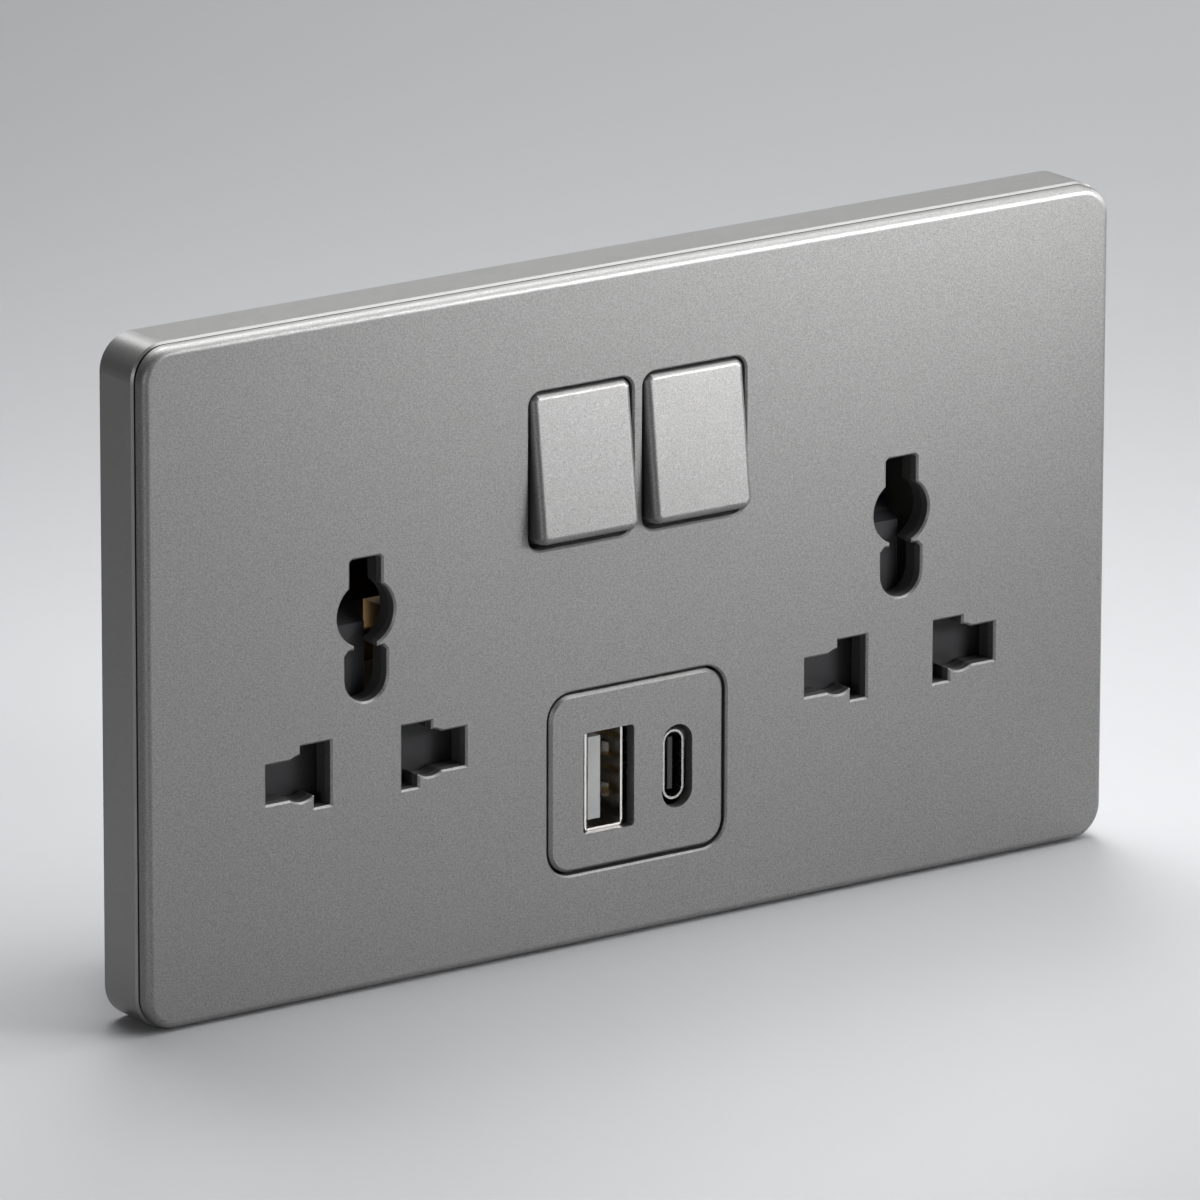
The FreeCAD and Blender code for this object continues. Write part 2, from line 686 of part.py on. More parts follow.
def make_housing():
    body = new_body("rear_housing")
    add_back(body, "- deck_rear", "deck_rear + housing_depth", (outline, inner_outline("0", HOUSING_FOOT)))
    finish_edges(body, "Chamfer", "housing_edge", at_depth("housing_depth"))
    cut_back(body, "- deck_rear", "deck_rear + housing_depth - housing_wall",
             (outline, inner_outline("housing_wall", HOUSING_FOOT)))
    floor = "housing_depth - housing_wall / 2"
    add_back(body, "- deck_rear", floor + " + deck_rear", *[(ring, x, z, "screw_tube") for x, z in SCREWS])
    cut_back(body, "- deck_rear", "housing_depth + deck_rear",
             *[(ring, x, z, "screw_radius + screw_hole_gap") for x, z in SCREWS])
    cut_back(body, "screw_seat", "housing_depth", *[(ring, x, z, "screw_sink") for x, z in SCREWS])
    # Pillars that hold the charger's board against the legs of its bezel.
    pillars = []
    for side, name in SIDES:
        x = "%d * ( board_half - pillar_inset )" % side
        pillars.append(post_at(x, "- board_top - pillar_inset"))
        pillars.append(post_at(x, "pillar_inset - board_drop - " + USB_DROP))
    add_back(body, BOARD_REAR, "%s - %s" % (floor, BOARD_REAR), *pillars)
    # Posts behind the live strips, and shorter ones behind the three bars.
    strip_leg = "strip_gap + strip_width / 2"
    add_back(body, "live_plane + brass", floor + " - live_plane - brass",
             post_at("rocker_place", CONTACT_LEVEL), post_at("- rocker_place", CONTACT_LEVEL),
             post_at("%s - ( %s )" % (LIVE_RIGHT, strip_leg), "strip_post_rise"),
             post_at("%s - ( %s )" % (LIVE_LEFT, strip_leg), "strip_post_rise"))
    add_back(body, "bar_plane + brass", floor + " - bar_plane - brass",
             post_at("rocker_place", LIVE_LEVEL), post_at("- rocker_place", LIVE_LEVEL),
             post_at("half_pitch", EARTH_LEVEL), post_at("- half_pitch", EARTH_LEVEL),
             post_at("0", EARTH_LEVEL), post_at("0", NEUTRAL_LEVEL),
             post_at(NEUTRAL_RIGHT, NEUTRAL_LEVEL), post_at("- half_pitch", NEUTRAL_LEVEL))
    # A window behind each terminal, with room below it for the wires.
    for name, x, z in TERMINALS:
        cut_back(body, "housing_depth - housing_wall", "housing_wall",
                 (box, x + " - block_half - window_gap", z + " - block_half - wire_room",
                  x + " + block_half + window_gap", z + " + block_half + window_gap"))
    return body


def spring_leaves(middle, front, rear):
    """A U of sheet brass with flared lips, drawn from its side: depth first, then height."""
    lip = "leaf_gap + leaf_flare"
    bend = front + " + leaf_lip"
    outside = [(front, lip + " + brass"), (bend, "leaf_gap + brass"), (rear + " + brass", "leaf_gap + brass")]
    inside = [(rear, "leaf_gap"), (bend, "leaf_gap"), (front, lip)]
    points = [(y, "%s + %s" % (middle, z)) for y, z in outside]
    points += [(y, "%s - ( %s )" % (middle, z)) for y, z in reversed(outside)]
    points += [(y, "%s - ( %s )" % (middle, z)) for y, z in reversed(inside)]
    points += [(y, "%s + %s" % (middle, z)) for y, z in inside]
    return points


def make_live_clip(side, name):
    """A pin clip with the strip that joins it to its switch's fixed contact."""
    body = new_body("live_clip_" + name)
    clip = LIVE_RIGHT if side > 0 else LIVE_LEFT
    add_across(body, clip, "2 * pin_clip_half",
               (outline, spring_leaves("- pin_line", "- leaf_front", "live_plane")))
    outer = clip + " - strip_gap - strip_width"
    inner = clip + " - strip_gap"
    toe = clip + " + strip_lap"
    end = "%d * ( rocker_place - strip_end )" % side
    near = "%s + %d * strip_leg" % (CONTACT_LEVEL, side)
    far = "%s - %d * strip_leg" % (CONTACT_LEVEL, side)
    add_back(body, "live_plane", "brass", (outline, [
        (outer, "- pin_line - strip_foot"), (toe, "- pin_line - strip_foot"),
        (toe, "strip_foot - pin_line"), (inner, "strip_foot - pin_line"),
        (inner, near), (end, near), (end, far), (outer, far)]))
    add_back(body, "live_plane - contact_height", "contact_height + brass / 2",
             (ring, "%d * rocker_place" % side, CONTACT_LEVEL, "contact_radius"))
    return body


def make_neutral_bar():
    body = new_body("neutral_bar")
    for clip in (NEUTRAL_LEFT, NEUTRAL_RIGHT):
        add_across(body, clip, "2 * pin_clip_half",
                   (outline, spring_leaves("- pin_line", "- leaf_front", "bar_plane")))
        if clip == NEUTRAL_LEFT:
            left = NEUTRAL_LEFT + " + pin_clip_half"
            right = NEUTRAL_RIGHT + " - pin_clip_half"
            far = NEUTRAL_RIGHT + " + pin_clip_half"
            low = "bar_rise - pin_line"
            high = "bar_rise + bar_width - pin_line"
            add_back(body, "bar_plane", "brass",
                     (outline, [(NEUTRAL_LEFT, "- pin_line"), (left, "- pin_line"), (left, low), (right, low),
                                (right, "- pin_line"), (far, "- pin_line"), (far, high),
                                (NEUTRAL_LEFT, high)]))
    return body


def make_earth_bar():
    body = new_body("earth_bar")
    for side, name in SIDES:
        leaves = spring_leaves("%d * half_pitch" % side, "earth_leaf_front", "bar_plane")
        add_upright(body, EARTH_RISE, "2 * earth_clip_half", (outline, [(x, y) for y, x in leaves]))
        if side > 0:
            far = "half_pitch + leaf_gap + brass"
            add_back(body, "bar_plane", "brass",
                     (box, "- ( %s )" % far, EARTH_BAR_TOP + " - earth_bar_width", far, EARTH_BAR_TOP))
    return body


def make_live_bar():
    body = new_body("live_bar")
    low = LIVE_LEVEL + " - live_bar_half"
    add_back(body, "bar_plane", "brass",
             (box, "- live_bar_end", low, "live_terminal_place + block_half", LIVE_LEVEL + " + live_bar_half"))
    # Two rounded noses that the contact arms rock on.
    for side, name in SIDES:
        x = "%d * rocker_place" % side
        add_back(body, "arm_axis", "bar_plane - arm_axis + brass / 2",
                 (box, x + " - knife_half", ROCKER_RISE + " - knife_nose",
                  x + " + knife_half", ROCKER_RISE + " + knife_nose"))
        add_across(body, x, "2 * knife_half", (ring, "arm_axis", ROCKER_RISE, "knife_nose"))
    # A tail in front of the other bars feeds the charger.
    add_back(body, "live_plane", "bar_plane - live_plane + brass / 2",
             (box, "- tail_half", low, "tail_half", low + " + tail_bridge"))
    add_back(body, "live_plane", "brass",
             (box, "- tail_half", "- board_top - tail_lap", "tail_half", low + " + tail_bridge"))
    return body


def make_terminal(name, x, z):
    """A brass block on its bar, bored upright for the wires and tapped for the clamp screw."""
    body = new_body(name)
    middle = "bar_plane + brass + block_depth / 2"
    add_back(body, "bar_plane + brass", "block_depth",
             (box, x + " - block_half", z + " - block_half", x + " + block_half", z + " + block_half"))
    cut_upright(body, z, "2 * block_half", (ring, x, middle, "wire_bore"))
    cut_back(body, middle, "block_depth / 2", (ring, x, z, "clamp_screw + clamp_gap"))
    return body


def rod(name, x, y, z, radius, length):
    """A bar along Y with few sides, from a bound place towards the rear."""
    made = doc.addObject("Part::Prism", name)
    made.Polygon = FEW_SIDES
    made.Placement.Rotation = FreeCAD.Rotation(V(1, 0, 0), -90)
    for kind, size in (("Placement.Base.x", x), ("Placement.Base.y", y), ("Placement.Base.z", z),
                       ("Circumradius", radius), ("Height", length)):
        made.setExpression(kind, bound(size))
    return made


def slab(name, x, y, z, wide, deep, tall):
    """A block from a bound corner."""
    made = doc.addObject("Part::Box", name)
    for kind, size in (("Placement.Base.x", x), ("Placement.Base.y", y), ("Placement.Base.z", z),
                       ("Length", wide), ("Width", deep), ("Height", tall)):
        made.setExpression(kind, bound(size))
    return made


def grouped(name, shapes):
    made = doc.addObject("Part::Compound", name)
    made.Links = shapes
    made.Label = name
    return made


def headed_screw(name, x, z, seat, radius, length, head, height):
    """A screw driven from the rear, its head's underside at depth seat."""
    made = doc.addObject("Part::MultiFuse", name)
    made.Shapes = [rod(name + "_shank", x, "%s - ( %s )" % (seat, length), z, radius,
                       "%s + %s / 2" % (length, height)),
                   rod(name + "_cap", x, seat, z, head, height)]
    return made


def make_screws():
    """The plain screws that hold the mouldings together, and the slotted ones of the terminals."""
    housing = [headed_screw("housing_screw_%d" % i, x, z, "screw_seat", "screw_radius",
                            "screw_seat + screw_tip", "screw_head", "screw_head_height")
               for i, (x, z) in enumerate(SCREWS)]
    seat = "( bar_plane + brass + block_depth )"
    clamp = []
    for i, (name, x, z) in enumerate(TERMINALS):
        blank = headed_screw("clamp_blank_%d" % i, x, z, seat, "clamp_screw",
                             "block_depth / 2 - wire_bore + clamp_reach", "clamp_head",
                             "clamp_head_height")
        slot = slab("clamp_slot_%d" % i, x + " - slot_width / 2",
                    seat + " + clamp_head_height - slot_depth", z + " - clamp_head",
                    "slot_width", "slot_depth", "2 * clamp_head")
        screw = doc.addObject("Part::Cut", "clamp_screw_%d" % i)
        screw.Base = blank
        screw.Tool = slot
        clamp.append(screw)
    return [grouped("housing_screws", housing), grouped("terminal_screws", clamp)]


def set_place(item, x, y, z, angle):
    """Puts a piece at a bound place, turned about X by a bound angle."""
    item.Placement = FreeCAD.Placement(V(0, 0, 0), FreeCAD.Rotation(V(1, 0, 0), 1))
    item.setExpression("Placement.Base.x", bound(x))
    item.setExpression("Placement.Base.y", bound(y))
    item.setExpression("Placement.Base.z", bound(z))
    item.setExpression("Placement.Rotation.Angle", bound(angle))


def make_rocker(name, x):
    """Built level about its own pivot, then turned to its resting tilt."""
    body = new_body(name)
    end = "rocker_height / 2"
    add_back(body, "- rocker_face", "rocker_face + rocker_back",
             (trimmed, "- rocker_width / 2", "- " + end, "rocker_width / 2", end, "rocker_corner"))
    finish_edges(body, "Fillet", "rocker_edge", at_depth("- rocker_face"))
    cut_across(body, "0", "rocker_width - 2 * rocker_wall",
               (box, "rocker_skin - rocker_face", "rocker_wall - " + end,
                "rocker_back", end + " - rocker_wall"))
    add_across(body, "0", BAY_WIDTH + " + 2 * trunnion_reach", (ring, "0", "0", "trunnion"))
    add_back(body, "rocker_skin - rocker_face - bite", "rocker_face - rocker_skin + tube_end + bite",
             (ring, "0", "0", "plunger_tube"))
    cut_back(body, "- bore_start", "bore_start + tube_end", (ring, "0", "0", "plunger_bore"))
    set_place(body, x, "- pivot_depth", ROCKER_RISE, "- rocker_tilt")
    return body


def make_plunger(name, x):
    body = new_body(name)
    add_back(body, "plunger_start", "plunger_tip - plunger_start", (ring, "0", "0", "plunger_radius"))
    finish_edges(body, "Chamfer", "plunger_point", at_depth("plunger_tip"))
    set_place(body, x, "- pivot_depth", ROCKER_RISE, "- rocker_tilt")
    return body


def make_contact_arm(name, x):
    """A see-saw strip with a hub that rocks on the live bar's rounded nose."""
    body = new_body(name)
    add_across(body, "0", "2 * arm_half",
               (box, "- arm_front", "- arm_reach", "- arm_back", "arm_reach"))
    add_across(body, "0", "2 * arm_half", (ring, "0", "0", "arm_hub"))
    cut_across(body, "0", "2 * arm_half", (box, "0", "- arm_hub", "arm_hub", "arm_hub"))
    cut_across(body, "0", "2 * arm_half", (ring, "0", "0", "knife_nose + knife_fit"))
    add_back(body, "- arm_back - bite", "button_height + bite",
             (ring, "0", "button_place", "button_radius"))
    set_place(body, x, "arm_axis", ROCKER_RISE, "arm_tilt")
    return body


def make_shutter(name, x):
    """A bar over both pin holes and a cam behind the earth hole that the earth pin pushes down."""
    body = new_body(name)
    head = "- shutter_head"
    add_back(body, "- shutter_front", "shutter_front - shutter_rear",
             (box, x + " - shutter_half", "- shutter_foot", x + " + shutter_half", head))
    add_across(body, x, "2 * cam_half",
               (outline, [("- shutter_front", head + " - cam_nose"),
                          ("- shutter_front", "cam_start - cam_nose"), ("- shutter_rear", "cam_start"),
                          ("cam_run - shutter_rear", "cam_start + shutter_travel"),
                          ("cam_run - shutter_rear", "cam_start + shutter_travel - cam_thick"),
                          ("- shutter_rear", "cam_start - cam_root"),
                          ("- shutter_rear", head + " - cam_nose")]))
    # A foot that the return spring pushes up.
    add_back(body, "- shutter_rear - bite", "foot_depth + bite",
             (box, x + " - foot_half", "- shutter_foot", x + " + foot_half", "foot_height - shutter_foot"))
    return body


def make_spring(name, x):
    """A square-wire coil that stands upright between the frame's deck and a shutter's foot."""
    play = "( spring_wire + spring_play )"
    length = "( %s - deck_lap - shutter_foot - 2 * %s )" % (HOUSING_FOOT, play)
    path = doc.addObject("Part::Helix", name + "_path")
    path.setExpression("Radius", bound("spring_coil"))
    path.setExpression("Height", bound(length))
    path.setExpression("Pitch", bound(length + " / spring_turns"))
    section = doc.addObject("Part::RegularPolygon", name + "_section")
    section.Polygon = 4
    section.setExpression("Circumradius", bound("spring_wire"))
    section.Placement = FreeCAD.Placement(V(0, 0, 0), FreeCAD.Rotation(V(1, 0, 0), 90))
    section.setExpression("Placement.Base.x", bound("spring_coil"))
    body = doc.addObject("Part::Sweep", name)
    body.Sections = [section]
    body.Spine = (path, [])
    body.Solid = True
    body.Frenet = True
    body.Label = name
    set_place(body, x, "- spring_line", "deck_lap + %s - %s" % (play, HOUSING_FOOT), "0")
    return body


def make_bezel():
    body = new_body("usb_bezel")
    drop = "- " + USB_DROP
    add_back(body, "- plate_depth", "usb_collar",
             (rounded, "0", drop, "usb_width", "usb_height", "usb_corner"))
    finish_edges(body, "Chamfer", "usb_edge", at_depth("- plate_depth"))
    cut_back(body, "usb_skin - plate_depth", "usb_collar",
             (trimmed, "usb_wall - usb_width / 2", drop + " - usb_height / 2 + usb_wall",
              "usb_width / 2 - usb_wall", drop + " + usb_height / 2 - usb_wall",
              "( usb_corner - usb_wall ) / 2"))
    cut_back(body, "- plate_depth", "usb_skin + bite",
             (rounded, "- usb_a_place", PORT_LEVEL, "usb_a_mouth_width", "usb_a_mouth_height",
              "usb_a_mouth_corner"),
             (rounded, "usb_c_place", PORT_LEVEL, "usb_c_mouth_width", "usb_c_mouth_height",
              "( usb_c_mouth_width / 2 - round_end )"))
    # Legs that stand the board off at its depth.
    inner = "usb_width / 2 - usb_wall"
    for side, end in QUARTERS:
        add_back(body, "usb_skin - plate_depth - bite", "plate_depth - usb_skin + board_front + bite",
                 (box, "%d * ( %s + bite )" % (side, inner), "%s + %d * leg_near" % (drop, end),
                  "%d * ( %s - leg_width )" % (side, inner), "%s + %d * leg_far" % (drop, end)))
    return body


def make_usb_a():
    """The steel shell, the plastic tongue in its block and the four contact strips."""
    front = "usb_a_recess - plate_depth"
    depth = "plate_depth - usb_a_recess + board_front"
    left = "- usb_a_place - usb_a_width / 2"
    right = "usb_a_width / 2 - usb_a_place"
    low = PORT_LEVEL + " - usb_a_height / 2"
    high = PORT_LEVEL + " + usb_a_height / 2"
    shell = new_body("usb_a_shell")
    add_back(shell, front, depth,
             (rounded, "- usb_a_place", PORT_LEVEL, "( usb_a_width + 2 * shell_wall )",
              "( usb_a_height + 2 * shell_wall )", "usb_a_corner"))
    cut_back(shell, front, depth + " - shell_wall", (box, left, low, right, high))
    # Two sprung fingers pressed inwards from the wall opposite the tongue.
    finger = [(right + " + shell_wall / 2", "- finger_front"), (right + " - finger_bend", "- finger_peak"),
              (right + " - finger_bend", "- finger_flat"), (right + " + shell_wall / 2", "- finger_rear")]
    for end in (1, -1):
        add_upright(shell, "%s + %d * finger_place" % (PORT_LEVEL, end), "finger_width", (outline, finger))
    tongue = new_body("usb_a_tongue")
    base = "board_front - shell_wall - port_play - port_base"
    add_back(tongue, base, "port_base",
             (box, left + " + port_play", low + " + port_play", right + " - port_play", high + " - port_play"))
    face = left + " + tongue_gap + tongue_thick"
    add_back(tongue, front + " + tongue_step", base + " - ( %s + tongue_step ) + bite" % front,
             (box, left + " + tongue_gap", PORT_LEVEL + " - tongue_half", face, PORT_LEVEL + " + tongue_half"))
    strips = [slab("usb_a_strip_%d" % i, face, front + " + tongue_step + strip_step",
                   "%s - strip_half + %s" % (PORT_LEVEL, rise), "strip_thick",
                   base + " - ( %s + tongue_step + strip_step )" % front, "2 * strip_half")
              for i, rise in enumerate(["- outer_strip", "- inner_strip", "inner_strip", "outer_strip"])]
    return [shell, tongue, grouped("usb_a_contacts", strips)]


def make_usb_c():
    front = "usb_c_recess - plate_depth"
    depth = "plate_depth - usb_c_recess + board_front"
    shell = new_body("usb_c_shell")
    add_back(shell, front, depth,
             (rounded, "usb_c_place", PORT_LEVEL, "usb_c_width", "usb_c_height",
              "( usb_c_width / 2 - round_end )"))
    cut_back(shell, front, depth + " - shell_wall",
             (rounded, "usb_c_place", PORT_LEVEL, "( usb_c_width - 2 * shell_wall )",
              "( usb_c_height - 2 * shell_wall )", "( usb_c_width / 2 - shell_wall - round_end )"))
    tongue = new_body("usb_c_tongue")
    base = "board_front - shell_wall - port_play - port_base"
    play = "2 * shell_wall - 2 * port_play"
    add_back(tongue, base, "port_base",
             (rounded, "usb_c_place", PORT_LEVEL, "( usb_c_width - %s )" % play,
              "( usb_c_height - %s )" % play, "( usb_c_width / 2 - shell_wall - port_play - round_end )"))
    add_back(tongue, front + " + usb_c_step", base + " - ( %s + usb_c_step ) + bite" % front,
             (box, "usb_c_place - usb_c_tongue", PORT_LEVEL + " - usb_c_tongue_half",
              "usb_c_place + usb_c_tongue", PORT_LEVEL + " + usb_c_tongue_half"))
    return [shell, tongue]


def make_board():
    """The charger's board with what stands on its rear face."""
    board = new_body("usb_circuit_board")
    drop = "- " + USB_DROP
    add_back(board, "board_front", "board_thick",
             (box, "- board_half", drop + " - board_drop", "board_half", "- board_top"))
    core = new_body("usb_transformer")
    low = drop + " - core_foot"
    high = drop + " + core_head"
    add_back(core, BOARD_REAR, BOARD_ROOM, (box, "- core_left", low, "core_right", high))
    cut_back(core, BOARD_REAR + " + core_front", "core_waist",
             (box, "- core_left", low, "core_lip - core_left", high),
             (box, "core_right - core_lip", low, "core_right", high))
    cans = [rod("usb_can_low", "can_place", BOARD_REAR, drop + " - can_low", "can_radius", BOARD_ROOM),
            rod("usb_can_high", "can_place", BOARD_REAR, drop + " + can_high", "can_radius", BOARD_ROOM)]
    pins = [slab("live_feed", "- feed_half", BOARD_REAR, "- board_top - feed_inset - feed_half",
                 "2 * feed_half", "live_plane - " + BOARD_REAR, "2 * feed_half"),
            slab("neutral_feed", "- feed_place - feed_half", BOARD_REAR, NEUTRAL_LEVEL + " - feed_half",
                 "2 * feed_half", "bar_plane - " + BOARD_REAR, "2 * feed_half")]
    return [board, core, grouped("usb_capacitors", cans), grouped("usb_feed_pins", pins)]


def check_and_export(nodes):
    doc.recompute()
    os.makedirs("parts", exist_ok=True)
    for item in doc.Objects:
        if "Invalid" in item.State or "Error" in item.State:
            raise RuntimeError("%s is %s" % (item.Name, item.State))
    for node in nodes:
        shape = node.Shape
        if shape.isNull() or not shape.isValid():
            raise RuntimeError("%s has no valid shape" % node.Label)
        shape.exportStep("parts/%s.step" % node.Label)
        print(node.Label, len(shape.Solids), round(shape.Volume), shape.BoundBox)


def make_all():
    nodes = [make_fascia(), make_frame(), make_socket_front(), make_housing()]
    nodes += [make_live_clip(side, name) for side, name in SIDES]
    nodes += [make_neutral_bar(), make_earth_bar(), make_live_bar()]
    nodes += [make_terminal(name, x, z) for name, x, z in TERMINALS]
    nodes += make_screws()
    for side, name in SIDES:
        x = "%d * rocker_place" % side
        nodes.append(make_rocker("rocker_" + name, x))
        nodes.append(make_plunger("plunger_" + name, x))
        nodes.append(make_contact_arm("contact_arm_" + name, x))
        outlet = "%d * half_pitch" % side
        nodes.append(make_shutter("shutter_" + name, outlet))
        nodes.append(make_spring("shutter_spring_" + name, outlet))
    nodes.append(make_bezel())
    nodes += make_usb_a()
    nodes += make_usb_c()
    nodes += make_board()
    return nodes


check_and_export(make_all())
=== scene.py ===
import bmesh
import bpy
import math
from mathutils import Matrix, Vector


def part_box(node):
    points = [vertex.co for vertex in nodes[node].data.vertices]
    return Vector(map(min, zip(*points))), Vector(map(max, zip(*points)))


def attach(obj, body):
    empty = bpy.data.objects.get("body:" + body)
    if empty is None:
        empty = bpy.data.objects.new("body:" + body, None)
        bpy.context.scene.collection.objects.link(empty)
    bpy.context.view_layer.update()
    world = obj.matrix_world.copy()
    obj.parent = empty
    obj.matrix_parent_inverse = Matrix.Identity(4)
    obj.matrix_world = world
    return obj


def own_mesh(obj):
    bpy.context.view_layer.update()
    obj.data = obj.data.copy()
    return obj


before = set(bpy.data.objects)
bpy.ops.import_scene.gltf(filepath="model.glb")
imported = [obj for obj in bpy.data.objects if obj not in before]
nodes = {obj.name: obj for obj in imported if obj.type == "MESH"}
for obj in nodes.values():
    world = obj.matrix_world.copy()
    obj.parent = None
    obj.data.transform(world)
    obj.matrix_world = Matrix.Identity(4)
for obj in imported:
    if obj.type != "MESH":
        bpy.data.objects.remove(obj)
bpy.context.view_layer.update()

MM = 0.001
WHITE = (1.0, 1.0, 1.0)

# The front edge of the mounting frame, on which the fascia sits, and the level that the part stands on.
plate_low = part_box("mounting_frame")[0]
FRAME_FRONT = plate_low[1]
PLATE_BOTTOM = plate_low[2]

# The camera that the plate's outline in the photograph calls for.
CAMERA_AZIMUTH = math.radians(35.43)
CAMERA_ELEVATION = math.radians(15.96)
CAMERA_ROLL = math.radians(0.13)
CAMERA_DISTANCE = 1592 * MM
CAMERA_LENS = 385.5
CAMERA_SENSOR = 36.0
CAMERA_NEAR, CAMERA_FAR = 0.05, 50.0
CAMERA_TARGET = Vector((0.69 * MM, 0.0, PLATE_BOTTOM + 40.96 * MM))

# The soft studio light: name, place, point faced, side of the square lamp, power and width of the beam.
WORLD_STRENGTH = 0.10
LAMPS = [
    ("near", (0.21, -0.21, 0.11), (0.03, 0.0, 0.07), 0.12, 0.12, 50),
    ("front", (0.34, -0.48, 0.15), (-0.06, 0.0, 0.07), 0.24, 0.06, 45),
    ("top", (0.12, 0.08, 0.45), (0.0, 0.06, 0.0), 0.3, 0.6, 100),
    ("key", (0.19, -0.13, 0.38), (-0.04, 0.0, 0.0), 0.34, 0.19, 60),
    ("right", (0.45, 0.02, 0.10), (0.05, 0.0, 0.02), 0.16, 0.08, 60),
    ("edge", (-0.39, -0.28, 0.06), (-0.073, 0.0, 0.0), 0.08, 0.03, 60),
    ("wash", (0.3, 0.9, 1.2), (0.05, 0.55, 0.0), 0.9, 17.0, 180),
]

# The floor runs from its front to a bend, which turns it up into the backdrop.
FLOOR_HALF_WIDTH = 2.5
FLOOR_FRONT = -2.2
BEND_START = 1.2
BEND_RADIUS = 0.8
BEND_STEPS = 16
BACKDROP_TOP = 2.0
# Its grey is palest at one spot beside the part and darkens over an ellipse round it, a painted pool of
# light.
FLOOR_TINT = (0.965, 0.975, 1.0)
FLOOR_PALE, FLOOR_DARK = 0.68, 0.34
LIGHT_POOL_SPOT = (0.12, 0.55, 0.0)
LIGHT_POOL_REACH = (0.32, 1.3, 1.0)

# The tint of the metallic paint, and the grey of the near-black painted shade on the faces inside the
# seam between fascia and frame.
PAINT_TINT = (1.0, 0.993, 0.985)
SEAM_SHADE_LEVEL = 0.006


def make_camera():
    az, el, roll = CAMERA_AZIMUTH, CAMERA_ELEVATION, CAMERA_ROLL
    ahead = Vector((math.sin(az) * math.cos(el), math.cos(az) * math.cos(el), -math.sin(el)))
    level = Vector((math.cos(az), -math.sin(az), 0.0))
    upright = level.cross(ahead)
    right = level * math.cos(roll) + upright * math.sin(roll)
    up = upright * math.cos(roll) - level * math.sin(roll)
    data = bpy.data.cameras.new("camera")
    data.lens = CAMERA_LENS
    data.sensor_width = CAMERA_SENSOR
    data.clip_start = CAMERA_NEAR
    data.clip_end = CAMERA_FAR
    camera = bpy.data.objects.new("camera", data)
    place = Matrix((right, up, -ahead)).transposed().to_4x4()
    place.translation = CAMERA_TARGET - ahead * CAMERA_DISTANCE
    camera.matrix_world = place
    bpy.context.scene.collection.objects.link(camera)
    bpy.context.scene.camera = camera


def area_light(name, place, aim, size, power, spread):
    """A soft square lamp at a place, turned to face a point, with its beam's width in degrees."""
    data = bpy.data.lights.new(name, "AREA")
    data.size = size
    data.energy = power
    data.spread = math.radians(spread)
    light = bpy.data.objects.new(name, data)
    place, aim = Vector(place), Vector(aim)
    turn = (aim - place).to_track_quat("-Z", "Y").to_matrix().to_4x4()
    light.matrix_world = Matrix.Translation(place) @ turn
    bpy.context.scene.collection.objects.link(light)


def make_lights():
    world = bpy.data.worlds.new("studio")
    bpy.context.scene.world = world
    world.use_nodes = True
    back = world.node_tree.nodes["Background"]
    back.inputs["Color"].default_value = WHITE + (1.0,)
    back.inputs["Strength"].default_value = WORLD_STRENGTH
    for lamp in LAMPS:
        area_light(*lamp)


class Nodes:
    """A new node material, with short calls to add nodes and link them."""

    def __init__(self, name):
        self.material = bpy.data.materials.new(name)
        self.material.use_nodes = True
        self.tree = self.material.node_tree
        self.shader = self.tree.nodes["Principled BSDF"]

    def add(self, kind, **values):
        node = self.tree.nodes.new("ShaderNode" + kind)
        for name, value in values.items():
            setattr(node, name, value)
        return node

    def link(self, source, target):
        self.tree.links.new(source, target)

    def place(self):
        """The point on the surface, in the object's own metres."""
        return self.add("TexCoord").outputs["Object"]

    def noise(self, scale, detail=2.0, roughness=0.5, at=None):
        node = self.add("TexNoise")
        self.link(self.place() if at is None else at, node.inputs["Vector"])
        node.inputs["Scale"].default_value = scale
        node.inputs["Detail"].default_value = detail
        node.inputs["Roughness"].default_value = roughness
        return node.outputs["Fac"]

    def mapped(self, kind, **values):
        """The point on the surface after a mapping of this kind."""
        node = self.add("Mapping", vector_type=kind)
        for name, value in values.items():
            node.inputs[name].default_value = value
        self.link(self.place(), node.inputs["Vector"])
        return node.outputs["Vector"]

    def ramp(self, factor, stops):
        node = self.add("ValToRGB")
        self.link(factor, node.inputs["Fac"])
        for stop, (spot, color) in zip(node.color_ramp.elements, stops):
            stop.position = spot
            stop.color = tuple(color) + (1.0,)
        return node.outputs["Color"]

    def span(self, factor, low, high):
        node = self.add("MapRange")
        self.link(factor, node.inputs["Value"])
        node.inputs["To Min"].default_value = low
        node.inputs["To Max"].default_value = high
        return node.outputs["Result"]

    def share(self, value, start, end):
        """0 up to start and 1 from end on."""
        node = self.add("MapRange")
        self.link(value, node.inputs["Value"])
        node.inputs["From Min"].default_value = start
        node.inputs["From Max"].default_value = end
        return node.outputs["Result"]

    def color(self, source):
        self.link(source, self.shader.inputs["Base Color"])

    def rough(self, source):
        self.link(source, self.shader.inputs["Roughness"])

    def bump(self, height, distance, strength):
        node = self.add("Bump")
        self.link(height, node.inputs["Height"])
        node.inputs["Distance"].default_value = distance
        node.inputs["Strength"].default_value = strength
        self.link(node.outputs["Normal"], self.shader.inputs["Normal"])


def scaled(color, share):
    return tuple(share * part for part in color)


